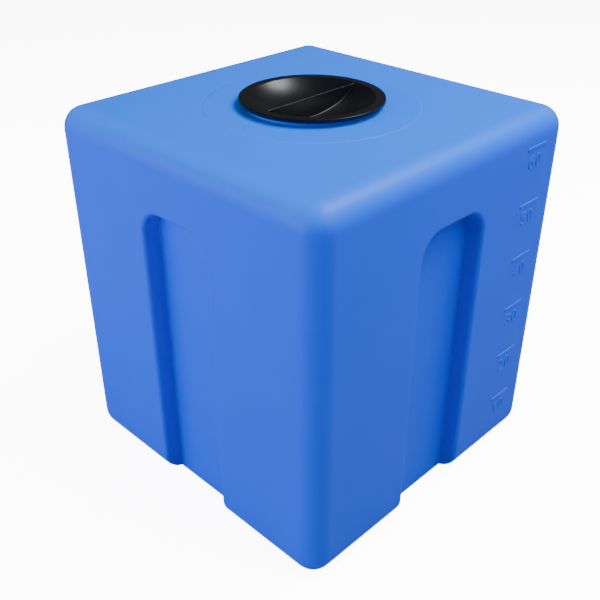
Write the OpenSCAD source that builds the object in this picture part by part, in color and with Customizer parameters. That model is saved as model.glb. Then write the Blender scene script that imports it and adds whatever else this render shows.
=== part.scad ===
// Closed 60 litre water tank with four grooved sides, a litre scale and a screw lid.
// The base stands on z = 0, the tank's axis is the Z axis, and the scale is on the -Y side.

/* [Tank] */
// Width and depth of the square body
tank_w = 400; // [360:5:600]
// Height of the body without its neck and lid
tank_h = 438; // [420:1:700]
// Radius of every outside edge of the body
edge_r = 25; // [21:1:35]
// Thickness of the moulded wall
wall = 4; // [3:0.5:6]

/* [Side grooves] */
// Width of the groove in the middle of each side
groove_w = 102; // [60:1:140]
// Depth of the groove below the side
groove_depth = 21; // [8:1:21]
// Distance from the body's top down to the groove's top
groove_drop = 76; // [50:1:150]
// Radius of the groove's two upper corners
groove_corner_r = 28; // [10:1:29]

/* [Neck] */
// Radius of the shallow raised disc round the neck
disc_r = 118.5; // [100:0.5:140]
// Height of that disc above the body's top
disc_h = 0.6; // [0.2:0.1:2]
// Outer radius of the neck
neck_r = 72.5; // [72.5:0.1:74]
// Radius of the neck's bore
bore_r = 69; // [69:0.1:69.3]
// Height of the neck's rim above the body's top
neck_rise = 4; // [2:0.5:10]
// Depth of the neck's collar below the body's top
neck_drop = 25; // [24:1:40]

/* [Thread] */
// Height that the lid rises in one turn
thread_lead = 10; // [9:0.5:14]
// Number of turns of each ridge
thread_turns = 1; // [0.8:0.05:1]
// Height of a ridge above its wall
thread_depth = 2.4; // [2:0.1:2.4]
// Width of a ridge at its foot
thread_foot = 5; // [4:0.1:5]
// Width of a ridge at its crest
thread_crest = 2.6; // [1.5:0.1:2.6]

/* [Lid] */
// Radius of the lid's flange
flange_r = 80; // [76:0.5:90]
// Thickness of the flange
flange_t = 4; // [3:0.5:6]
// Radius at which the flat of the flange gives way to the dish
dish_r = 70; // [69:0.5:72]
// Outer radius of the threaded plug, without its ridge
plug_r = 65.8; // [65.6:0.1:66]
// Thickness of the plug's skirt
skirt_t = 2.5; // [2:0.1:3]
// Depth of the plug below the body's top
plug_drop = 23; // [22:1:24]
// Thickness of the dish's wall
dish_t = 3; // [2:0.5:4]
// Thickness of the grip web across the dish
web_t = 1.6; // [1.4:0.1:5]
// Distance from the flange's top down to the web's top edge
web_drop = 1; // [0.5:0.5:5]

/* [Seal] */
// Thickness of the flat ring under the flange
seal_t = 1.6; // [1:0.1:1.8]
// Inner radius of the ring
seal_in_r = 69.4; // [69.3:0.1:70]
// Outer radius of the ring
seal_out_r = 72.2; // [71:0.1:72.4]

/* [Litre scale] */
// Number of marks, one for every ten litres
mark_count = 6; // [1:1:6]
// Height of the top mark above the base
mark_top = 405.7; // [380:0.1:408]
// Distance from one mark to the next
mark_step = 66.4; // [60:0.1:67]
// Length of a mark
mark_l = 37; // [20:1:40]
// Width of a mark's bar
mark_w = 4.5; // [2:0.5:6]
// Distance from the middle of the side to the near end of a mark
mark_x = 120.8; // [80:0.1:125]
// Height of a mark above the side's surface
mark_raise = 1; // [0.5:0.1:2]

/* [Hidden] */
round_fn = 96;
half = tank_w / 2;
// How far joined shapes run into each other, and how far a cut runs past a surface
lap = 1;

// Heights of the neck's rim, of the flange above the seal, and of the lid's top
rim_z = tank_h + neck_rise;
seal_room = 2;
flange_z = rim_z + seal_room;
lid_top = flange_z + flange_t;
flange_edge_r = 1;

// The neck's ridge starts above its collar; the plug's ridge hangs under it with a small gap
ridge_z = tank_h - 15;
ridge_gap = 0.4;
ridge_mesh = thread_foot - (thread_foot - thread_crest) / thread_depth * (bore_r - plug_r) / 2 + ridge_gap;
ridge_taper = 0.08;
ridge_steps = round(48 * thread_turns);

// Dish outline: a shallow floor arc, a tighter side arc and a rounded brim, one after the other
floor_r = 150;
floor_angle = 14.5;
side_angle = 45;
brim_r = 1.5;
side_r = (dish_r - floor_r * sin(floor_angle) - brim_r * sin(side_angle))
       / (sin(side_angle) - sin(floor_angle));
dish_depth = floor_r * (1 - cos(floor_angle)) + side_r * (cos(floor_angle) - cos(side_angle))
           + brim_r * (1 - cos(side_angle));
floor_z = lid_top - dish_depth + floor_r;
side_x = (floor_r - side_r) * sin(floor_angle);
side_z = floor_z - (floor_r - side_r) * cos(floor_angle);
skirt_r = plug_r - skirt_t;

// A list the other way round
function reversed(line) = [for (k = [len(line) - 1 : -1 : 0]) line[k]];

// Arc about [x, z] from angle a to angle b, both measured from straight down
function arc(x, z, r, a, b, steps) =
    [for (i = [0 : steps]) let (t = a + (b - a) * i / steps) [x + r * sin(t), z - r * cos(t)]];

// Dish surface from the axis outwards, lowered square to itself by t, as far as its side arc goes
function dish_line(t, last_angle) = concat(
    arc(0, floor_z, floor_r + t, 0, floor_angle, 5),
    arc(side_x, side_z, side_r + t, floor_angle + 2, last_angle, 8));

// Rectangle with rounded corners, standing on the X axis
module rounded_square(w, h, r) {
    translate([r - w / 2, 0]) square([w - 2 * r, h]);
    translate([-w / 2, r]) square([w, h - 2 * r]);
    for (x = [r - w / 2, w / 2 - r]) for (y = [r, h - r]) translate([x, y]) circle(r = r, $fn = round_fn);
}

// Block standing on z = 0 with every edge rounded: two crossed slabs and a round-ended post
// in each corner
module rounded_block(w, h, r) {
    flat = w / 2 - r;
    for (turn = [0, 90]) rotate([0, 0, turn]) translate([0, flat, 0]) rotate([90, 0, 0])
        linear_extrude(2 * flat) rounded_square(w, h, r);
    for (x = [-flat, flat]) for (y = [-flat, flat]) translate([x, y, 0])
        rotate_extrude($fn = round_fn) {
            translate([0, r]) square([r, h - 2 * r]);
            for (z = [r, h - r]) translate([0, z]) intersection() {
                circle(r = r, $fn = round_fn);
                translate([0, -r]) square([r, 2 * r]);
            }
        }
}

// The block that cuts one side's groove, turned to all four sides and grown all round
module groove_blocks(grow) {
    w = groove_w + 2 * grow;
    r = groove_corner_r + grow;
    top = tank_h - groove_drop + grow;
    depth = groove_depth + grow;
    for (turn = [0 : 90 : 270]) rotate([0, 0, turn]) translate([0, depth - half, 0]) rotate([90, 0, 0]) {
        translate([-w / 2, -lap, 0]) cube([w, top - r + lap, depth + lap]);
        translate([r - w / 2, -lap, 0]) cube([w - 2 * r, top + lap, depth + lap]);
        for (side = [-1, 1]) translate([side * (w / 2 - r), top - r, 0])
            cylinder(r = r, h = depth + lap, $fn = round_fn);
    }
}

// Right-hand helical ridge on a wall of radius foot_r, out to crest_r, starting at height z.
// Its flanks run on into the wall by lap, and its two ends taper down.
module ridge(foot_r, crest_r, z) {
    out = sign(crest_r - foot_r);
    root_w = thread_foot + lap * (thread_foot - thread_crest) / thread_depth;
    points = [for (i = [0 : ridge_steps]) let (
            part = i / ridge_steps,
            turned = 360 * thread_turns * part,
            rise = z + thread_lead * thread_turns * part,
            top = foot_r + (crest_r - foot_r) * min(1, 0.2 + min(part, 1 - part) / ridge_taper))
        for (p = [[foot_r - out * lap, -root_w / 2], [top, -thread_crest / 2],
                  [top, thread_crest / 2], [foot_r - out * lap, root_w / 2]])
            [p[0] * cos(turned), p[0] * sin(turned), rise + p[1]]];
    n = 4;
    sides = [for (i = [0 : ridge_steps - 1]) for (j = [0 : n - 1])
        let (a = i * n + j, b = i * n + (j + 1) % n) each [[a, b, b + n], [a, b + n, a + n]]];
    ends = [reversed([for (j = [0 : n - 1]) j]), [for (j = [0 : n - 1]) ridge_steps * n + j]];
    faces = concat(sides, ends);
    polyhedron(points, out > 0 ? faces : [for (f = faces) reversed(f)]);
}

// Short raised bars up the right-hand end of the -Y side, one for every ten litres
module litre_marks() {
    for (i = [0 : mark_count - 1])
        translate([mark_x, -half - mark_raise, mark_top - i * mark_step - mark_w / 2])
            cube([mark_l, mark_raise + lap, mark_w]);
}

// Space inside the shell: the block less a wall all round, clear of the grooves and the collar
module cavity() {
    difference() {
        translate([0, 0, wall]) rounded_block(tank_w - 2 * wall, tank_h - 2 * wall, edge_r - wall);
        groove_blocks(wall);
        translate([0, 0, tank_h - neck_drop]) cylinder(r = neck_r, h = neck_drop, $fn = round_fn);
    }
}

module tank_shell() {
    color("royalblue") union() {
        difference() {
            union() {
                difference() {
                    rounded_block(tank_w, tank_h, edge_r);
                    groove_blocks(0);
                }
                translate([0, 0, tank_h - lap]) cylinder(r = disc_r, h = disc_h + lap, $fn = round_fn);
                translate([0, 0, tank_h - lap]) cylinder(r = neck_r, h = neck_rise + lap, $fn = round_fn);
                litre_marks();
            }
            cavity();
            translate([0, 0, tank_h - neck_drop - lap])
                cylinder(r = bore_r, h = neck_drop + neck_rise + 2 * lap, $fn = round_fn);
        }
        ridge(bore_r, bore_r - thread_depth, ridge_z);
    }
}

module lid_seal() {
    color("dimgray") translate([0, 0, rim_z + (seal_room - seal_t) / 2]) difference() {
        cylinder(r = seal_out_r, h = seal_t, $fn = round_fn);
        translate([0, 0, -lap]) cylinder(r = seal_in_r, h = seal_t + 2 * lap, $fn = round_fn);
    }
}

// Flange, dish and plug skirt in one turned outline
module lid_body() {
    under = side_r + dish_t;
    skirt_angle = asin((skirt_r - side_x) / under);
    rotate_extrude($fn = round_fn) polygon(concat(
        dish_line(0, side_angle),
        arc(dish_r, lid_top - brim_r, -brim_r, side_angle, 0, 4),
        arc(flange_r - flange_edge_r, lid_top - flange_edge_r, flange_edge_r, 180, 90, 3),
        [[flange_r, flange_z], [plug_r, flange_z],
         [plug_r, tank_h - plug_drop], [skirt_r, tank_h - plug_drop]],
        reversed(dish_line(dish_t, skirt_angle))));
}

// Thin upright web along the X axis, from the dish up to just below the flange's top
module grip_web() {
    intersection() {
        translate([-dish_r, -web_t / 2, lid_top - dish_depth - lap])
            cube([2 * dish_r, web_t, dish_depth + lap - web_drop]);
        rotate_extrude($fn = round_fn) polygon(concat(
            dish_line(lap, side_angle),
            [[dish_r, lid_top], [0, lid_top]]));
    }
}

module lid() {
    color("#1b1c26") union() {
        lid_body();
        grip_web();
        ridge(plug_r, plug_r + thread_depth, ridge_z - ridge_mesh);
    }
}

tank_shell();
lid_seal();
lid();
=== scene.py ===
"""Looks of a closed 60 litre water tank: moulded shell, litre scale, screw lid and its seal.

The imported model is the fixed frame. Every surface here is worked out with numpy from the frame's
sizes, in metres, with +Z up, the tank's axis on Z and the litre scale on the -Y side.
"""

from types import SimpleNamespace

import bmesh
import bpy
import numpy as np
from bpy.props import FloatProperty, FloatVectorProperty, IntProperty, PointerProperty
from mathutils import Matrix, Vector


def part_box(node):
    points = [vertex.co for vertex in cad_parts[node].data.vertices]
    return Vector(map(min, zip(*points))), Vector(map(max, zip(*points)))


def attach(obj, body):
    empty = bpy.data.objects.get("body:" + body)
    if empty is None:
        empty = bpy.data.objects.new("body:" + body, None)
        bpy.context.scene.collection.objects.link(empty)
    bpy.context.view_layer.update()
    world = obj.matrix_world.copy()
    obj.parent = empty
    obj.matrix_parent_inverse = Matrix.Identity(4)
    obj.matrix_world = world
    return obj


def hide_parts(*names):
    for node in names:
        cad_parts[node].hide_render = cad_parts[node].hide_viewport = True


bl_info = {
    "name": "Water Tank Looks",
    "version": (1, 0, 0),
    "blender": (4, 5, 0),
    "location": "View3D > Sidebar > Water Tank",
    "description": "Builds the moulded tank, its litre scale, the screw lid and the lid's seal",
    "category": "Object",
}

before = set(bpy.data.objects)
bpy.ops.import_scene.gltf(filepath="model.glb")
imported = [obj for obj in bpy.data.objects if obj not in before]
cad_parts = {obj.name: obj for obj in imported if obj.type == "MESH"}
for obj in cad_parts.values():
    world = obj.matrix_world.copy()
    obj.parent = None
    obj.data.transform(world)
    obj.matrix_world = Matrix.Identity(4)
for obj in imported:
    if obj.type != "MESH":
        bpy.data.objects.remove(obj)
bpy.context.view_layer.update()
MM = 0.001
TANK_LOW, TANK_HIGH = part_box("tank_shell")
LID_LOW, LID_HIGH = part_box("lid")
SEAL_LOW, SEAL_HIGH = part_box("lid_seal")


# ---------------------------------------------------------------- sizes and colours


def length(name, description, default):
    """A length property in metres."""
    return FloatProperty(name=name, description=description, default=default, min=0.0,
                         unit="LENGTH", precision=4)


def colour(name, description, default):
    """A linear colour property."""
    return FloatVectorProperty(name=name, description=description, default=default, size=3,
                               min=0.0, max=1.0, subtype="COLOR")


def strength(name, description, default):
    """A brightness of nought or more."""
    return FloatProperty(name=name, description=description, default=default, min=0.0)


class TankSizes(bpy.types.PropertyGroup):
    """Sizes of the moulded shell."""

    width: length("Width", "Width and depth of the square body", TANK_HIGH.x - TANK_LOW.x)
    rim: length("Rim height", "Height of the neck's rim above the base", TANK_HIGH.z)
    neck_rise: length("Neck rise", "Height of the neck's rim above the body's top", 4 * MM)
    edge: length("Edge radius", "Radius of every outside edge", 25 * MM)
    wall: length("Wall", "Thickness of the moulded wall", 4 * MM)
    groove_width: length("Groove width", "Width of the groove in each side", 102 * MM)
    groove_depth: length("Groove depth", "Depth of the groove below the side", 21 * MM)
    groove_drop: length("Groove drop", "Distance from the body's top down to the groove", 76 * MM)
    groove_corner: length("Groove corner", "Radius of the groove's two upper corners", 28 * MM)
    groove_draft: length("Groove draft", "How far the groove's wall leans in over its depth", 0.3 * MM)
    lip: length("Lip radius", "Radius of the rounded edge along the groove", 5 * MM)
    foot: length("Foot radius", "Radius of the hollow corner at the groove's floor", 1.5 * MM)
    disc: length("Disc radius", "Radius of the shallow raised disc round the neck", 118.5 * MM)
    disc_rise: length("Disc rise", "Height of that disc above the body's top", 0.6 * MM)
    neck: length("Neck radius", "Outer radius of the neck", 72.5 * MM)
    bore: length("Bore radius", "Radius of the neck's bore", 69 * MM)
    collar: length("Collar depth", "Depth of the neck's collar below the body's top", 25 * MM)


class ThreadSizes(bpy.types.PropertyGroup):
    """Sizes of the screw thread shared by the neck and the lid."""

    lead: length("Lead", "Height that the lid rises in one turn", 10 * MM)
    depth: length("Depth", "Height of a ridge above its wall", 2.4 * MM)
    foot: length("Foot width", "Width of a ridge at its foot", 5 * MM)
    crest: length("Crest width", "Width of a ridge at its crest", 2.6 * MM)
    start: length("Start", "Depth below the body's top at which the neck's ridge starts", 15 * MM)
    mesh: length("Mesh", "Distance that the lid's ridge hangs below the neck's", 3.8 * MM)


class ScaleSizes(bpy.types.PropertyGroup):
    """Sizes of the raised litre scale."""

    count: IntProperty(name="Marks", description="Number of marks, one for every ten litres",
                       default=6, min=1, max=6)
    top: length("Top mark", "Height of the highest mark above the base", 405.7 * MM)
    step: length("Step", "Distance from one mark to the next", 66.4 * MM)
    near: length("Near end", "Distance from the middle of the side to a mark's near end", 120.8 * MM)
    bar: length("Bar length", "Length of a mark", 37 * MM)
    bar_width: length("Bar width", "Width of a mark", 4.5 * MM)
    rise: length("Rise", "Height of the scale above the side", 0.8 * MM)
    digit: length("Digit height", "Height of a numeral", 16.8 * MM)
    digit_width: length("Digit width", "Width of a numeral", 9.8 * MM)
    digit_gap: length("Digit gap", "Space between two numerals", 3.9 * MM)
    digit_drop: length("Digit drop", "Distance from a mark down to its numerals' top", 7.6 * MM)
    digit_inset: length("Digit inset", "Distance from a mark's near end to its first numeral", 5.6 * MM)
    stroke: length("Stroke", "Width of a numeral's stroke", 2.8 * MM)


class LidSizes(bpy.types.PropertyGroup):
    """Sizes of the lid and of its seal."""

    flange: length("Flange radius", "Outer radius of the flange", LID_HIGH.x)
    top: length("Lid top", "Height of the lid's top above the base", LID_HIGH.z)
    bottom: length("Plug bottom", "Height of the plug's lower end above the base", LID_LOW.z)
    flange_depth: length("Flange thickness", "Thickness of the flange", 4 * MM)
    flange_edge: length("Flange edge", "Radius of the edge round the top of the flange", 1 * MM)
    dish: length("Dish radius", "Radius at which the flange's flat gives way to the dish", 70 * MM)
    brim: length("Brim radius", "Radius of the rounded brim of the dish", 1.5 * MM)
    dish_floor: length("Dish floor", "Radius of curvature of the dish's floor", 150 * MM)
    dish_wall: length("Dish wall", "Thickness of the dish", 3 * MM)
    plug: length("Plug radius", "Outer radius of the plug without its ridge", 65.8 * MM)
    skirt: length("Skirt thickness", "Thickness of the plug's skirt", 2.5 * MM)
    web: length("Web thickness", "Thickness of the grip web", 1.6 * MM)
    web_drop: length("Web drop", "Distance from the flange's top down to the web's top edge", 1 * MM)
    web_foot: length("Web foot", "Radius of the hollow corner where the web meets the dish", 0.9 * MM)
    seal_inside: length("Seal inside", "Inner radius of the seal", 69.4 * MM)


class Finishes(bpy.types.PropertyGroup):
    """Colours of the materials."""

    tank: colour("Tank", "Blue polyethylene of the shell", (0.000, 0.076, 0.850))
    # Painted top light: a lighter, greener blue for faces that point up, standing in for the brighter
    # light that falls on the top
    painted_top_light: colour("Painted top light", "Polyethylene where it faces the sky", (0.000, 0.140, 0.830))
    # The lid's own near-black colour, plus a painted reflection: its faint blue tint stands in for the
    # bluish light that the lid's flat reflects
    lid: colour("Lid", "Black plastic of the lid", (0.0034, 0.0037, 0.0058))
    seal: colour("Seal", "Black rubber of the seal", (0.012, 0.012, 0.013))
    floor: colour("Floor", "Shade of the floor as it lights the tank", (0.30, 0.30, 0.30))
    floor_seen: FloatVectorProperty(name="Floor seen", size=3, min=0.0, subtype="COLOR",
                                    description="Shade of the floor as the camera sees it",
                                    default=(2.5, 2.5, 2.5))


class StageSettings(bpy.types.PropertyGroup):
    """Camera, floor and lights."""

    bearing: FloatProperty(name="Bearing", description="Turn of the camera from the -Y side towards -X",
                           default=np.radians(45.3), subtype="ANGLE")
    pitch: FloatProperty(name="Pitch", description="How far the camera looks down",
                         default=np.radians(31.26), subtype="ANGLE")
    distance: length("Distance", "Distance from the camera to its target", 1.04)
    aim: FloatVectorProperty(name="Aim", description="Target of the camera", size=3,
                             subtype="TRANSLATION", default=(-0.0091, 0.0094, 0.1888))
    lens: FloatProperty(name="Lens", description="Focal length on a 36 mm sensor, in mm",
                        default=50.17, min=1.0)
    floor: length("Floor size", "Width of the floor", 60.0)
    floor_glow: strength("Floor glow", "Even light of the floor that only the camera sees", 9.0)
    sky_seen: strength("Sky seen", "Even light of the surroundings that only the camera sees", 9.0)
    sky_light: strength("Sky light", "Even light from all round that falls on the tank", 0.06)
    reach: length("Reach", "Distance from the lights to the point that they are aimed at", 2.2)
    aim_height: length("Aim height", "Height of the point that the lights are aimed at", 0.25)


# ---------------------------------------------------------------- grids of points

# Points closer than this become one
WELD = 0.002 * MM


def turns(first, last, steps):
    """Evenly spaced angles from first to last degrees, in radians."""
    return np.radians(np.linspace(first, last, steps + 1))


def lathe(outline, angles):
    """Turns an outline about Z: the point (r, z) goes to (r cos a, r sin a, z) for every angle a."""
    r, z = np.asarray(outline).T
    return np.stack([np.outer(r, np.cos(angles)), np.outer(r, np.sin(angles)),
                     np.repeat(z[:, None], len(angles), axis=1)], axis=-1)


def quarter_turns(grid):
    """The grid and its copies turned by 90, 180 and 270 degrees about Z."""
    x, y, z = np.moveaxis(grid, -1, 0)
    return [np.stack(p, axis=-1) for p in ((x, y, z), (-y, x, z), (-x, -y, z), (y, -x, z))]


def arc(centre, radius, first, last, steps):
    """Points on a circle about centre, from first to last degrees counted from +r towards +z."""
    a = turns(first, last, steps)
    return np.stack([centre[0] + radius * np.cos(a), centre[1] + radius * np.sin(a)], axis=-1)


def blend(start, end, shares):
    """Points between two curves: start (1 - share) + end share, with the shares as second axis."""
    share = np.asarray(shares)[None, :, None]
    return start[:, None] * (1 - share) + end[:, None] * share


def solid_mesh(name, grids):
    """One closed mesh from grids of points whose borders meet, with normals outwards.

    Each cell of a grid is a quad; points closer than the weld distance become one.
    """
    points, quads, start = [], [], 0
    for grid in grids:
        rows, columns = grid.shape[:2]
        index = start + np.arange(rows * columns).reshape(rows, columns)
        corners = [index[:-1, :-1], index[1:, :-1], index[1:, 1:], index[:-1, 1:]]
        quads.append(np.stack(corners, -1).reshape(-1, 4))
        points.append(grid.reshape(-1, 3))
        start += rows * columns
    mesh = bpy.data.meshes.new(name)
    mesh.from_pydata(np.concatenate(points).tolist(), [], np.concatenate(quads).tolist())
    bm = bmesh.new()
    bm.from_mesh(mesh)
    bmesh.ops.remove_doubles(bm, verts=bm.verts, dist=WELD)
    bmesh.ops.dissolve_degenerate(bm, edges=bm.edges, dist=WELD)
    bmesh.ops.recalc_face_normals(bm, faces=bm.faces)
    bm.to_mesh(mesh)
    bm.free()
    mesh.shade_smooth()
    return mesh


def add_piece(name, grids, body, material, node=None):
    """Adds a finished piece to the scene, on its body, and hides the CAD node that it stands for."""
    piece = bpy.data.objects.new(name, solid_mesh(name, grids))
    bpy.context.scene.collection.objects.link(piece)
    piece.data.materials.append(material)
    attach(piece, body)
    if node:
        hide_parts(node)
    return piece


# ---------------------------------------------------------------- moulded shell

# Narrow strip beside a rounded edge, which keeps the flat next to it flat in shading
SUPPORT = 0.7 * MM
# Width of the flat band beside the groove's lip
BAND = 8 * MM
# Width of the flat ring outside the neck's disc, where the turned neck joins the skin
HUB_MARGIN = 6 * MM
# Steps round an outside edge, half the steps round a groove's corner, and steps along a groove's top
ROUND_STEPS = 10
CORNER_STEPS = 10
ARCH_STEPS = 16


def skin_sizes(tank, depth):
    """Sizes of the skin that lies depth inside the outer one: convex radii shrink, hollow ones grow."""
    return SimpleNamespace(
        half=tank.width / 2 - depth,
        base=depth,
        top=tank.rim - tank.neck_rise - depth,
        edge=tank.edge - depth,
        flat=tank.width / 2 - tank.edge,
        groove_half=tank.groove_width / 2 + depth,
        groove_top=tank.rim - tank.neck_rise - tank.groove_drop + depth,
        corner=tank.groove_corner + depth,
        groove_depth=tank.groove_depth,
        draft=tank.groove_draft,
        lip=tank.lip - depth,
        foot=tank.foot + depth,
    )


def edge_inset(skin, z):
    """How far the rounded bottom edge stands in from the side at height z: R - sqrt(R^2 - (R - z)^2)."""
    down = np.clip(skin.edge - (z - skin.base), 0, skin.edge)
    return skin.edge - np.sqrt(skin.edge**2 - down**2)


def leg_heights(skin):
    """Heights from the base to the groove's upper corner, closely spaced round the bottom edge.

    One of them is where the bottom edge has come in as far as the groove's floor.
    """
    runs_out = np.degrees(np.arcsin(1 - skin.groove_depth / skin.edge))
    lean = np.append(0.0, turns(runs_out, 90, ROUND_STEPS))
    rounded = skin.base + skin.edge * (1 - np.cos(lean))
    straight = np.linspace(skin.base + skin.edge, skin.groove_top - skin.corner, 9)
    return np.append(rounded, straight[1:])


def groove_path(skin):
    """The groove's outline in the side's plane, up one leg, round the arch and down the other.

    Gives four rows of (u, z): the outline, its outward normal, the middle line inside it and the
    side's border outside it.
    """
    legs = leg_heights(skin)
    turn_z = skin.groove_top - skin.corner
    inner = skin.groove_half - skin.corner
    border_top = skin.top - skin.edge
    around = turns(0, 90, 2 * CORNER_STEPS)[1:]
    corner_normals = np.stack([np.cos(around), np.sin(around)], -1)
    across = np.linspace(inner, 0, ARCH_STEPS // 2 + 1)[1:]
    outline = np.concatenate([
        np.stack([np.full_like(legs, skin.groove_half), legs], -1),
        [inner, turn_z] + skin.corner * corner_normals,
        np.stack([across, np.full_like(across, skin.groove_top)], -1),
    ])
    normals = np.concatenate([
        np.tile([1.0, 0.0], (len(legs), 1)),
        corner_normals,
        np.tile([0.0, 1.0], (len(across), 1)),
    ])
    middle = np.stack([np.zeros(len(outline)), np.minimum(outline[:, 1], turn_z)], -1)
    up_z = np.linspace(turn_z, border_top, CORNER_STEPS + 1)[1:]
    along_u = np.linspace(skin.flat, inner, CORNER_STEPS + 1)[1:]
    border = np.concatenate([
        np.stack([np.full_like(legs, skin.flat), legs], -1),
        np.stack([np.full_like(up_z, skin.flat), up_z], -1),
        np.stack([along_u, np.full_like(along_u, border_top)], -1),
        np.stack([across, np.full_like(across, border_top)], -1),
    ])
    mirror = np.array([-1.0, 1.0])
    rows = (outline, normals, middle, border)
    return [np.concatenate([row, (row * mirror)[-2::-1]]) for row in rows]


def groove_profile(skin):
    """Offsets out from the groove's outline, and the depth there as a share of the groove's depth.

    From the floor: a hollow quarter ellipse, a leaning wall and a rounded quarter ellipse.
    """
    foot_share, lip_share = skin.foot / skin.groove_depth, skin.lip / skin.groove_depth
    a = turns(0, 90, 5)
    hollow = np.stack([-skin.draft - skin.foot * (1 - np.sin(a)), 1 - foot_share * (1 - np.cos(a))], -1)
    a = turns(0, 90, 8)
    rounded = np.stack([skin.lip * (1 - np.cos(a)), lip_share * (1 - np.sin(a))], -1)
    floor = [[hollow[0, 0] - SUPPORT, 1.0]]
    side = [[skin.lip + SUPPORT, 0.0], [skin.lip + BAND, 0.0]]
    wall = (hollow[-1:] + rounded[:1]) / 2
    return np.concatenate([floor, hollow, wall, rounded, side])


def side_grid(skin):
    """One side with its groove, as a grid of groove outline by distance across it.

    A point lies at outline + offset x normal in the side's plane, and inset + (groove depth - inset) x
    share below it, so the groove runs out where the bottom edge curves in to its floor.
    """
    outline, normal, middle, border = groove_path(skin)
    offset, share = groove_profile(skin).T
    band = outline[:, None] + offset[None, :, None] * normal[:, None]
    inside = blend(middle, band[:, 0], [0, 0.5])
    outside = blend(band[:, -1], border, [0.35, 0.7, 0.985, 1])
    plane = np.concatenate([inside, band, outside], axis=1)
    shares = np.concatenate([np.ones(2), share, np.zeros(4)])
    inset = edge_inset(skin, plane[..., 1])
    depth = inset + np.maximum(skin.groove_depth - inset, 0) * shares
    return np.stack([plane[..., 0], depth - skin.half, plane[..., 1]], -1)


def corner_grid(skin, heights, inset):
    """A quarter round post between two sides, of radius edge - inset about the flat's corner."""
    a = turns(0, 90, ROUND_STEPS)
    r = (skin.edge - inset)[:, None]
    return np.stack([skin.flat + r * np.sin(a), -skin.flat - r * np.cos(a),
                     np.repeat(heights[:, None], len(a), 1)], -1)


def skin_grids(skin, hub):
    """A whole skin but for a round opening of radius hub in its top, and the steps round that opening.

    It is made as the quarter that faces -Y and three copies, each turned by 90 degrees more.
    """
    side = side_grid(skin)
    half_way = len(side) // 2
    border = side[:, -1]
    post = border[: half_way - ARCH_STEPS // 2 - CORNER_STEPS + 1, 2]
    lean = turns(0, 90, ROUND_STEPS)
    rise, inset = skin.edge * np.sin(lean), skin.edge * (1 - np.cos(lean))
    top_z = skin.top - skin.edge + rise
    along = border[len(post) - 1: len(border) - len(post) + 1, 0]
    top_edge = np.stack(np.broadcast_arrays(along[:, None], inset - skin.half, top_z), -1)
    rim = top_edge[:, -1]
    around = np.radians(np.linspace(-45, -135, len(along)))
    hub_ring = np.stack([hub * np.cos(around), hub * np.sin(around), np.full_like(around, skin.top)], -1)
    grids = [
        side,
        corner_grid(skin, post, edge_inset(skin, post)),
        top_edge,
        corner_grid(skin, top_z, inset),
        blend(rim, hub_ring, [0, 0.03, 0.35, 0.7, 1]),
    ]
    for line in (side[0], side[-1]):
        grids.append(blend(line, np.broadcast_to([0, 0, skin.base], line.shape), [0, 0.5, 1]))
    return [copy for grid in grids for copy in quarter_turns(grid)], 4 * (len(along) - 1)


def neck_outline(tank, hub):
    """Outline of the disc's step, the neck and its collar, from the outer skin to the inner one.

    The step is a smoothstep of the distance across it: rise x s^2 (3 - 2 s).
    """
    rim = tank.rim
    top = rim - tank.neck_rise
    step = 2 * MM
    share = np.linspace(0, 1, 7)
    step_r = tank.disc + step * (0.5 - share)
    step_z = top + tank.disc_rise * share**2 * (3 - 2 * share)
    disc_step = np.stack([step_r, step_z], -1)
    plate, inner = top + tank.disc_rise, top - tank.wall
    foot, edge = 1.2 * MM, 0.9 * MM
    end = (tank.neck - tank.bore) / 2
    return np.concatenate([
        [[hub, top], [tank.disc + step, top]], disc_step, [[tank.disc - step, plate]],
        [[tank.neck + 2 * foot, plate]],
        arc((tank.neck + foot, plate + foot), foot, 270, 180, 5),
        arc((tank.neck - edge, rim - edge), edge, 0, 90, 5),
        arc((tank.bore + edge, rim - edge), edge, 90, 180, 5),
        arc((tank.bore + end, top - tank.collar + end), end, 180, 360, 10),
        arc((tank.neck + foot, inner - foot), foot, 180, 90, 5),
        [[tank.neck + 2 * foot, inner], [hub, inner]],
    ])


THREAD_STEPS = 144
# Share of its length over which a ridge tapers at each end, and how far its foot sinks into its wall
THREAD_TAPER = 0.08
THREAD_SINK = 0.05 * MM


def thread_grid(thread, wall, direction, start):
    """One turn of a right-hand ridge on a wall of that radius, direction +1 outwards or -1 inwards.

    Its height is depth x smoothstep of the distance in from its foot's edge, tapering to nothing at its
    two ends; z rises by the lead in one turn.
    """
    across = np.concatenate([[-0.98, -1], np.linspace(-1, 1, 15), [1, 0.98]])
    buried = np.concatenate([[1, 1], np.zeros(15), [1, 1]]) * thread.foot / 6
    share = np.clip((1 - np.abs(across)) / (1 - thread.crest / thread.foot), 0, 1)
    bump = thread.depth * share**2 * (3 - 2 * share)
    part = np.linspace(0, 1, THREAD_STEPS + 1)
    taper = np.clip(np.minimum(part, 1 - part) / THREAD_TAPER, 0, 1)
    taper = np.sin(taper * np.pi / 2)
    r = wall + direction * (bump[None] * taper[:, None] - THREAD_SINK - buried[None])
    z = start + thread.lead * part[:, None] + across[None] * thread.foot / 2
    a = (2 * np.pi * part)[:, None]
    grid = np.stack([r * np.cos(a), r * np.sin(a), z + 0 * r], -1)
    grid = np.concatenate([grid, grid[:, :1]], axis=1)
    ends = [np.repeat(ring[:-1].mean(0)[None, None], grid.shape[1], 1) for ring in (grid[0], grid[-1])]
    return np.concatenate([ends[0], grid, ends[1]])


# ---------------------------------------------------------------- litre scale

# How square the bars and the numerals' strokes are across: 2 is a half ellipse, more is squarer
BAR_SQUARENESS = 3.0
NUMERAL_SQUARENESS = 2.4
# Height of the numerals as a share of the bars' height
NUMERAL_RISE = 0.9
# Steps over each rounded end of a stroke
END_STEPS = 5


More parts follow.
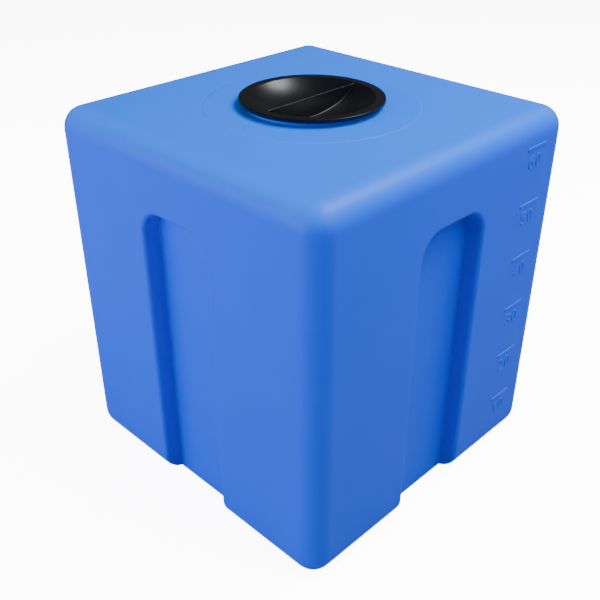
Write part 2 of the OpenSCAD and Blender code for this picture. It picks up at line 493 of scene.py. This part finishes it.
def raised_stroke(path, width, rise, squareness, face):
    """A raised rounded bar along a path of (u, z) on the -Y side, which lies at y = face.

    Across it, the height is rise x (1 - |q|^n)^(1/n) for q from -1 to 1 and n = squareness; past each
    end both shrink as a quarter circle. The flat back lies just under the surface.
    """
    path = np.asarray(path, float)
    closed = np.allclose(path[0], path[-1])
    tangent = np.gradient(path, axis=0)
    if closed:
        tangent[[0, -1]] = path[1] - path[-2]
    tangent /= np.linalg.norm(tangent, axis=1)[:, None]
    scale = np.ones(len(path))
    if not closed:
        a = turns(0, 90, END_STEPS)[1:]
        out = (np.sin(a) * width / 2)[:, None]
        before = (path[:1] - out * tangent[:1])[::-1]
        after = path[-1:] + out * tangent[-1:]
        path = np.concatenate([before, path, after])
        scale = np.concatenate([np.cos(a)[::-1], scale, np.cos(a)])
        tangent = np.pad(tangent, ((END_STEPS, END_STEPS), (0, 0)), mode="edge")
    normal = np.stack([-tangent[:, 1], tangent[:, 0]], -1)
    q = np.sin(turns(-90, 90, 14))
    height = rise * (1 - np.abs(q) ** squareness) ** (1 / squareness)
    q = np.concatenate([q, [1, -1, -1]])
    back = -0.4 * rise
    height = np.concatenate([height, [back, back, 0]])
    plane = path[:, None] + normal[:, None] * (q[None] * scale[:, None] * width / 2)[..., None]
    lift = np.where(height > 0, height * scale[:, None], height)
    return np.stack([plane[..., 0], face - lift, plane[..., 1]], -1)


def ellipse(u, z, ru, rz, first, last, steps=18):
    """Points on an ellipse about (u, z), at angles from first to last degrees."""
    a = turns(first, last, steps)
    return np.stack([u + ru * np.cos(a), z + rz * np.sin(a)], -1)


def line(*points):
    """A polyline with a few points on each stretch, so that its corners stay sharp."""
    corners = np.asarray(points, float)
    shares = np.linspace(0, 1, 7)[:-1, None]
    stretches = [start + shares * (end - start) for start, end in zip(corners, corners[1:])]
    return np.concatenate([*stretches, corners[-1:]])


def numeral_strokes(figure):
    """Strokes of a plain numeral in a box 1 wide and 1 high."""
    return {
        0: [ellipse(0.5, 0.5, 0.5, 0.5, 90, 450, 36)],
        1: [line((0.2, 0.76), (0.6, 1.0)), line((0.6, 1.0), (0.6, 0.0))],
        2: [np.concatenate([ellipse(0.5, 0.72, 0.46, 0.28, 165, -30),
                            line((0.9, 0.58), (0.02, 0.0))[1:]]),
            line((0.02, 0.0), (1.0, 0.0))],
        3: [ellipse(0.45, 0.75, 0.45, 0.25, 150, -90), ellipse(0.45, 0.25, 0.53, 0.25, 90, -150)],
        4: [line((0.74, 0.0), (0.74, 1.0)), line((0.74, 1.0), (0.0, 0.3)), line((0.0, 0.3), (1.0, 0.3))],
        5: [line((0.94, 1.0), (0.16, 1.0)), line((0.16, 1.0), (0.08, 0.52)),
            ellipse(0.46, 0.32, 0.52, 0.32, 137, -150)],
        6: [ellipse(0.5, 0.31, 0.5, 0.31, 90, 450, 30), ellipse(0.98, 0.31, 0.98, 0.69, 180, 96)],
    }[figure]


def scale_grids(scale, tank):
    """Every mark and numeral of the litre scale: the topmost mark counts count tens of litres."""
    grids = []
    face = -tank.width / 2
    for i in range(scale.count):
        z = scale.top - i * scale.step
        left = scale.near + scale.bar_width / 2
        bar = line((left, z), (scale.near + scale.bar - scale.bar_width / 2, z))
        grids.append(raised_stroke(bar, scale.bar_width, scale.rise, BAR_SQUARENESS, face))
        below = z - scale.digit_drop - scale.digit
        for place, figure in enumerate((scale.count - i, 0)):
            along = place * (scale.digit_width + scale.digit_gap)
            u = scale.near + scale.digit_inset + scale.stroke / 2 + along
            size = np.array([scale.digit_width - scale.stroke, scale.digit - scale.stroke])
            for stroke in numeral_strokes(figure):
                path = [u, below + scale.stroke / 2] + stroke * size
                grids.append(raised_stroke(path, scale.stroke, scale.rise * NUMERAL_RISE,
                                           NUMERAL_SQUARENESS, face))
    return grids


# ---------------------------------------------------------------- lid

LID_STEPS = 192
# Slope of the dish where its floor meets its side, and where its side meets its brim
FLOOR_LEAN = np.radians(14.5)
SIDE_LEAN = np.radians(45.0)


def dish_shape(lid):
    """Centres, radii and limits of the dish's three arcs: floor, side and brim, each meeting the next."""
    floor_end = lid.dish_floor * np.sin(FLOOR_LEAN)
    side_end = lid.dish - lid.brim * np.sin(SIDE_LEAN)
    side = (side_end - floor_end) / (np.sin(SIDE_LEAN) - np.sin(FLOOR_LEAN))
    depth = (lid.dish_floor * (1 - np.cos(FLOOR_LEAN)) + side * (np.cos(FLOOR_LEAN) - np.cos(SIDE_LEAN))
             + lid.brim * (1 - np.cos(SIDE_LEAN)))
    floor_z = lid.top - depth + lid.dish_floor
    return SimpleNamespace(
        side=side,
        floor_z=floor_z,
        side_r=(lid.dish_floor - side) * np.sin(FLOOR_LEAN),
        side_z=floor_z - (lid.dish_floor - side) * np.cos(FLOOR_LEAN),
        floor_end=floor_end,
        side_end=side_end,
    )


def dish_height(lid, r):
    """Height of the dish's surface at distance r from the axis, from the three arcs' circles."""
    d = dish_shape(lid)
    floor = d.floor_z - np.sqrt(np.maximum(lid.dish_floor**2 - r**2, 0))
    side = d.side_z - np.sqrt(np.maximum(d.side**2 - (r - d.side_r) ** 2, 0))
    brim = lid.top - lid.brim + np.sqrt(np.maximum(lid.brim**2 - (lid.dish - r) ** 2, 0))
    outside = np.where(r < lid.dish, brim, lid.top)
    return np.where(r < d.floor_end, floor, np.where(r < d.side_end, side, outside))


def lid_outline(lid):
    """Outline of the lid from the middle of the dish, round its flange and plug, to its underside.

    The underside's two arcs have the dish's centres, and radii larger by the dish's wall.
    """
    d = dish_shape(lid)
    skirt = lid.plug - lid.skirt
    upper_r = np.concatenate([np.linspace(0, d.side_end, 40), np.linspace(d.side_end, lid.dish, 10)[1:]])
    upper = np.stack([upper_r, dish_height(lid, upper_r)], -1)
    under_side = d.side + lid.dish_wall
    a = np.linspace(np.arcsin((skirt - d.side_r) / under_side), FLOOR_LEAN, 12)
    side = np.stack([d.side_r + under_side * np.sin(a), d.side_z - under_side * np.cos(a)], -1)
    under_floor = lid.dish_floor + lid.dish_wall
    a = np.linspace(FLOOR_LEAN, 0, 8)[1:]
    floor = np.stack([under_floor * np.sin(a), d.floor_z - under_floor * np.cos(a)], -1)
    edge, small = lid.flange_edge, 0.5 * MM
    low = lid.top - lid.flange_depth
    return np.concatenate([
        upper,
        [[lid.dish + SUPPORT, lid.top]],
        arc((lid.flange - edge, lid.top - edge), edge, 90, 0, 5),
        arc((lid.flange - small, low + small), small, 0, -90, 4),
        [[lid.plug + 2 * small, low]],
        arc((lid.plug + small, low - small), small, 90, 180, 4),
        arc((lid.plug - small, lid.bottom + small), small, 0, -90, 4),
        arc((skirt + small, lid.bottom + small), small, 270, 180, 4),
        side, floor,
    ])


def web_grid(lid):
    """The grip web: a thin upright plate along X, from the dish up to a straight edge with a round top.

    Across it, a hollow quarter circle runs up from the dish, then the plate's side, then a half circle;
    where the plate is lower than those radii they shrink with its height. Its back lies in the dish.
    """
    sink = 0.6 * MM
    top = lid.top - lid.web_drop
    reach = lid.dish - np.sqrt(lid.brim**2 - (lid.brim - lid.web_drop) ** 2)
    x = reach * np.sin(turns(-90, 90, 80))
    half, foot = lid.web / 2, lid.web_foot
    share = np.clip((top - dish_height(lid, np.abs(x))) / (foot + half), 0, 1)[:, None]
    a, b = turns(0, 90, 6), turns(0, 90, 5)
    up = half + foot * (1 - np.sin(a))
    over = half * np.cos(b)
    y = np.concatenate([up, over, -over[-2::-1], -up[::-1], [-half - foot, half + foot, half + foot]])
    surface = dish_height(lid, np.hypot(x[:, None], y[None]))
    rise_up = surface[:, : len(a)] + share * foot * (1 - np.cos(a))
    over_top = top - share * half * (1 - np.sin(b))
    buried = surface[:, -3:] - [sink, sink, 0.0]
    z = np.concatenate([rise_up, over_top, over_top[:, -2::-1], rise_up[:, ::-1], buried], axis=1)
    grid = np.stack([np.repeat(x[:, None], len(y), 1), np.repeat(y[None], len(x), 0), z], -1)
    ends = [np.repeat(ring.mean(0)[None, None], len(y), 1) for ring in (grid[0], grid[-1])]
    return np.concatenate([ends[0], grid, ends[1]])


def seal_outline(lid):
    """Outline of the seal: a flat ring whose four edges are rounded, closed on itself."""
    edge = 0.4 * MM
    near, far = lid.seal_inside + edge, SEAL_HIGH.x - edge
    low, high = SEAL_LOW.z + edge, SEAL_HIGH.z - edge
    corners = ((far, high), (near, high), (near, low), (far, low))
    ring = np.concatenate([arc(corner, edge, 90 * i, 90 * (i + 1), 4) for i, corner in enumerate(corners)])
    return np.concatenate([ring, ring[:1]])


# ---------------------------------------------------------------- materials


def node_group(name, inputs, outputs):
    """An empty shader node group with named inputs (type, default) and outputs."""
    group = bpy.data.node_groups.new(name, "ShaderNodeTree")
    for title, (kind, default) in inputs.items():
        socket = group.interface.new_socket(title, in_out="INPUT", socket_type=kind)
        socket.default_value = default
    for title, kind in outputs.items():
        group.interface.new_socket(title, in_out="OUTPUT", socket_type=kind)
    return group, group.nodes.new("NodeGroupInput"), group.nodes.new("NodeGroupOutput")


def add_node(tree, kind, links=(), **values):
    """A new node with inputs set by name and properties by attribute; links are (socket, input)."""
    node = tree.nodes.new(kind)
    for key, value in values.items():
        if key in node.inputs:
            node.inputs[key].default_value = value
        else:
            setattr(node, key, value)
    for socket, target in links:
        tree.links.new(socket, node.inputs[target])
    return node


def math_node(tree, operation, first, second, third=None):
    """A Math node whose inputs are sockets or numbers."""
    node = tree.nodes.new("ShaderNodeMath")
    node.operation = operation
    for i, value in enumerate((first, second, third)):
        if isinstance(value, bpy.types.NodeSocket):
            tree.links.new(value, node.inputs[i])
        elif value is not None:
            node.inputs[i].default_value = value
    return node.outputs[0]


def moulded_skin():
    """Skin of a moulded plastic: a slow mottle, a fine pebble, and the mould's faint long waves."""
    group, source, target = node_group(
        "Moulded skin",
        {"Colour": ("NodeSocketColor", (0.5, 0.5, 0.5, 1)), "Mottle": ("NodeSocketFloat", 0.05),
         "Roughness": ("NodeSocketFloat", 0.4), "Pebble size": ("NodeSocketFloat", 900.0),
         "Wave": ("NodeSocketFloat", 0.3)},
        {"Colour": "NodeSocketColor", "Roughness": "NodeSocketFloat", "Height": "NodeSocketFloat"})
    place = add_node(group, "ShaderNodeTexCoord").outputs["Object"]
    slow = add_node(group, "ShaderNodeTexNoise", [(place, "Vector")],
                    Scale=14.0, Detail=4.0, Roughness=0.55)
    fine = add_node(group, "ShaderNodeTexNoise",
                    [(place, "Vector"), (source.outputs["Pebble size"], "Scale")],
                    Detail=2.0, Roughness=0.6)
    wave = add_node(group, "ShaderNodeTexNoise", [(place, "Vector")], Scale=22.0, Detail=1.0)
    lightness = math_node(group, "MULTIPLY_ADD", math_node(group, "SUBTRACT", slow.outputs["Fac"], 0.5),
                          source.outputs["Mottle"], 1.0)
    shade = add_node(group, "ShaderNodeVectorMath", [(source.outputs["Colour"], 0)], operation="SCALE")
    group.links.new(lightness, shade.inputs["Scale"])
    rough = math_node(group, "MULTIPLY_ADD", math_node(group, "SUBTRACT", fine.outputs["Fac"], 0.5),
                      0.12, source.outputs["Roughness"])
    height = math_node(group, "MULTIPLY_ADD", wave.outputs["Fac"], source.outputs["Wave"],
                       fine.outputs["Fac"])
    group.links.new(shade.outputs[0], target.inputs["Colour"])
    group.links.new(rough, target.inputs["Roughness"])
    group.links.new(height, target.inputs["Height"])
    return group


def moulded_material(name, skin, base, roughness, mottle, pebble, wave, bump, **shader):
    """A Principled material whose colour, roughness and relief come from the moulded skin."""
    material = bpy.data.materials.new(name)
    material.use_nodes = True
    tree = material.node_tree
    principled = tree.nodes["Principled BSDF"]
    for key, value in shader.items():
        principled.inputs[key.replace("_", " ")].default_value = value
    group = tree.nodes.new("ShaderNodeGroup")
    group.node_tree = skin
    for key, value in (("Colour", (*base, 1)), ("Mottle", mottle), ("Roughness", roughness),
                       ("Pebble size", pebble), ("Wave", wave)):
        group.inputs[key].default_value = value
    relief = add_node(tree, "ShaderNodeBump", [(group.outputs["Height"], "Height")],
                      Strength=1.0, Distance=bump)
    tree.links.new(group.outputs["Colour"], principled.inputs["Base Color"])
    tree.links.new(group.outputs["Roughness"], principled.inputs["Roughness"])
    tree.links.new(relief.outputs["Normal"], principled.inputs["Normal"])
    return material


def shared_skin():
    """The moulded skin group, made once."""
    return bpy.data.node_groups.get("Moulded skin") or moulded_skin()


# Upward part of the surface's normal from which the shell takes the full painted top light: a lighter,
# greener blue that stands in for the brighter light falling on the top
PAINTED_TOP_LIGHT_FROM = 0.9
# The Mix node's sockets for colours
MIX_FIRST, MIX_SECOND, MIX_RESULT = 6, 7, 2


def tank_material(finish):
    """Semi-matt blue polyethylene of the shell and its litre scale, with painted light: a lighter, greener
    blue where it faces up, standing in for the brighter light on the top.
    """
    name = "Blue polyethylene"
    if name in bpy.data.materials:
        return bpy.data.materials[name]
    material = moulded_material(name, shared_skin(), finish.tank, roughness=0.45, mottle=0.06,
                                pebble=700.0, wave=2.0, bump=0.05 * MM, Specular_IOR_Level=0.2)
    tree = material.node_tree
    normal = add_node(tree, "ShaderNodeTexCoord").outputs["Normal"]
    facing = add_node(tree, "ShaderNodeSeparateXYZ", [(normal, "Vector")])
    # Painted top light: the colour moves towards the lighter blue as the normal turns up, so the top reads
    # as more brightly lit
    sky = add_node(tree, "ShaderNodeMapRange", [(facing.outputs["Z"], "Value")],
                   interpolation_type="SMOOTHSTEP")
    sky.inputs["From Max"].default_value = PAINTED_TOP_LIGHT_FROM
    shade = add_node(tree, "ShaderNodeMix", [(sky.outputs["Result"], "Factor")], data_type="RGBA")
    shade.inputs[MIX_FIRST].default_value = (*finish.tank, 1)
    shade.inputs[MIX_SECOND].default_value = (*finish.painted_top_light, 1)
    skin = next(node for node in tree.nodes if node.type == "GROUP")
    tree.links.new(shade.outputs[MIX_RESULT], skin.inputs["Colour"])
    return material


# ---------------------------------------------------------------- operators


class TANK_OT_shell(bpy.types.Operator):
    """Build the moulded shell with its grooves, neck and inner skin"""

    bl_idname = "water_tank.shell"
    bl_label = "Tank Shell"

    def execute(self, context):
        scene = context.scene
        tank, thread = scene.tank_sizes, scene.thread_sizes
        hub = tank.disc + HUB_MARGIN
        outer, steps = skin_grids(skin_sizes(tank, 0.0), hub)
        inner, _ = skin_grids(skin_sizes(tank, tank.wall), hub)
        neck = lathe(neck_outline(tank, hub), np.radians(np.linspace(-45, 315, steps + 1)))
        ridge = thread_grid(thread, tank.bore, -1, tank.rim - tank.neck_rise - thread.start)
        add_piece("tank_skin", outer + inner + [neck, ridge], "tank",
                  tank_material(scene.finishes), "tank_shell")
        return {"FINISHED"}


class TANK_OT_litre_scale(bpy.types.Operator):
    """Build the raised marks and numerals of the litre scale"""

    bl_idname = "water_tank.litre_scale"
    bl_label = "Litre Scale"

    def execute(self, context):
        scene = context.scene
        grids = scale_grids(scene.scale_sizes, scene.tank_sizes)
        add_piece("litre_scale", grids, "tank", tank_material(scene.finishes))
        return {"FINISHED"}


class TANK_OT_seal(bpy.types.Operator):
    """Build the rubber seal under the lid's flange"""

    bl_idname = "water_tank.seal"
    bl_label = "Lid Seal"

    def execute(self, context):
        scene = context.scene
        rubber = moulded_material("Seal rubber", shared_skin(), scene.finishes.seal, roughness=0.7,
                                  mottle=0.1, pebble=2500.0, wave=0.2, bump=0.02 * MM)
        ring = lathe(seal_outline(scene.lid_sizes), turns(0, 360, LID_STEPS))
        add_piece("seal_ring", [ring], "seal", rubber, "lid_seal")
        return {"FINISHED"}


class TANK_OT_lid(bpy.types.Operator):
    """Build the lid: flange, dish, grip web and threaded plug"""

    bl_idname = "water_tank.lid"
    bl_label = "Screw Lid"

    def execute(self, context):
        scene = context.scene
        lid, tank, thread = scene.lid_sizes, scene.tank_sizes, scene.thread_sizes
        plastic = moulded_material("Black lid plastic", shared_skin(), scene.finishes.lid,
                                   roughness=0.34, mottle=0.15, pebble=1400.0, wave=0.4,
                                   bump=0.015 * MM, Specular_IOR_Level=0.36)
        start = tank.rim - tank.neck_rise - thread.start - thread.mesh
        grids = [lathe(lid_outline(lid), turns(0, 360, LID_STEPS)), web_grid(lid),
                 thread_grid(thread, lid.plug, 1, start)]
        add_piece("lid_moulding", grids, "screw_lid", plastic, "lid")
        return {"FINISHED"}


class TANK_OT_stage(bpy.types.Operator):
    """Build the camera, the pale floor and the studio lights"""

    bl_idname = "water_tank.stage"
    bl_label = "Stage"

    def execute(self, context):
        scene = context.scene
        stage = scene.stage_settings
        level = np.cos(stage.pitch)
        look = Vector((np.sin(stage.bearing) * level, np.cos(stage.bearing) * level,
                       -np.sin(stage.pitch)))
        camera = bpy.data.objects.new("camera", bpy.data.cameras.new("camera"))
        camera.data.lens = stage.lens
        camera.location = Vector(stage.aim) - look * stage.distance
        camera.rotation_euler = look.to_track_quat("-Z", "Y").to_euler()
        scene.collection.objects.link(camera)
        scene.camera = camera
        add_floor(stage, scene.finishes)
        add_surroundings(scene, stage)
        add_lights(scene, stage)
        return {"FINISHED"}


def add_floor(stage, finish):
    """A wide pale floor, a hair's breadth under the tank."""
    half, gap = stage.floor / 2, 0.3 * MM
    corners = [(-half, -half, 0), (half, -half, 0), (half, half, 0), (-half, half, 0)]
    mesh = bpy.data.meshes.new("floor")
    mesh.from_pydata(corners, [], [(0, 1, 2, 3)])
    floor = bpy.data.objects.new("floor", mesh)
    floor.location.z = -gap
    bpy.context.scene.collection.objects.link(floor)
    mesh.materials.append(floor_material(stage, finish))


def floor_material(stage, finish):
    """Matt floor, paler to the camera than to the tank, so that it hardly lights the sides from below."""
    material = bpy.data.materials.new("Pale floor")
    material.use_nodes = True
    tree = material.node_tree
    tree.nodes.clear()
    path = tree.nodes.new("ShaderNodeLightPath")
    shaded = add_node(tree, "ShaderNodeBsdfDiffuse", Color=(*finish.floor_seen, 1))
    even = add_node(tree, "ShaderNodeEmission", Color=(1, 1, 1, 1), Strength=stage.floor_glow)
    seen = add_node(tree, "ShaderNodeAddShader", [(shaded.outputs[0], 0), (even.outputs[0], 1)])
    lit = add_node(tree, "ShaderNodeBsdfDiffuse", Color=(*finish.floor, 1))
    mix = add_node(tree, "ShaderNodeMixShader",
                   [(path.outputs["Is Camera Ray"], 0), (lit.outputs[0], 1), (seen.outputs[0], 2)])
    add_node(tree, "ShaderNodeOutputMaterial", [(mix.outputs[0], "Surface")])
    return material


def add_surroundings(scene, stage):
    """A faint even light from all round, and the pale background that only the camera sees."""
    world = bpy.data.worlds.new("Studio")
    world.use_nodes = True
    tree = world.node_tree
    path = tree.nodes.new("ShaderNodeLightPath")
    brightness = math_node(tree, "MULTIPLY_ADD", path.outputs["Is Camera Ray"], stage.sky_seen,
                           stage.sky_light)
    tree.links.new(brightness, tree.nodes["Background"].inputs["Strength"])
    tree.nodes["Background"].inputs["Color"].default_value = (1, 1, 1, 1)
    scene.world = world


def add_lights(scene, stage):
    """Seven soft boxes aimed at the tank.

    Each has a bearing counted from +X towards +Y and a height angle, both in degrees, a width in
    metres, a power in watts, and whether gloss mirrors it.
    """
    middle = Vector((0, 0, stage.aim_height))
    boxes = {
        "key": (282, 50, 1.4, 51.0, False),
        "sheen": (329, 58, 0.75, 46.0, True),
        "overhead": (0, 90, 1.4, 10.0, False),
        "left_back": (140, 10, 1.4, 32.0, False),
        "left": (172, 10, 1.4, 40.0, False),
        "front": (240, 25, 1.4, 0.8, False),
        "back": (45, 31, 1.6, 0.2, True),
    }
    for name, (bearing, height, size, power, mirrored) in boxes.items():
        turn, lift = np.radians(bearing), np.radians(height)
        level = np.cos(lift)
        towards = Vector((np.cos(turn) * level, np.sin(turn) * level, np.sin(lift)))
        data = bpy.data.lights.new(name, "AREA")
        data.size = size
        data.energy = power
        light = bpy.data.objects.new(name, data)
        light.location = middle + towards * stage.reach
        light.rotation_euler = (-towards).to_track_quat("-Z", "Y").to_euler()
        light.visible_camera = False
        light.visible_glossy = mirrored
        scene.collection.objects.link(light)


# ---------------------------------------------------------------- panel and registration

OPERATORS = (TANK_OT_stage, TANK_OT_shell, TANK_OT_litre_scale, TANK_OT_seal, TANK_OT_lid)
SETTINGS = {
    "tank_sizes": TankSizes,
    "thread_sizes": ThreadSizes,
    "scale_sizes": ScaleSizes,
    "lid_sizes": LidSizes,
    "finishes": Finishes,
    "stage_settings": StageSettings,
}


class TANK_PT_panel(bpy.types.Panel):
    """Sidebar panel that lists the operators"""

    bl_idname = "TANK_PT_panel"
    bl_label = "Water Tank"
    bl_space_type = "VIEW_3D"
    bl_region_type = "UI"
    bl_category = "Water Tank"

    def draw(self, context):
        for operator in OPERATORS:
            self.layout.operator(operator.bl_idname)


def register():
    for cls in (*SETTINGS.values(), *OPERATORS, TANK_PT_panel):
        bpy.utils.register_class(cls)
    for name, cls in SETTINGS.items():
        setattr(bpy.types.Scene, name, PointerProperty(type=cls))


def unregister():
    for name in SETTINGS:
        delattr(bpy.types.Scene, name)
    for cls in (TANK_PT_panel, *reversed(OPERATORS), *reversed(SETTINGS.values())):
        bpy.utils.unregister_class(cls)


def main():
    """Builds everything in order."""
    register()
    for name in ("stage", "shell", "litre_scale", "seal", "lid"):
        getattr(bpy.ops.water_tank, name)()


if __name__ == "__main__":
    main()
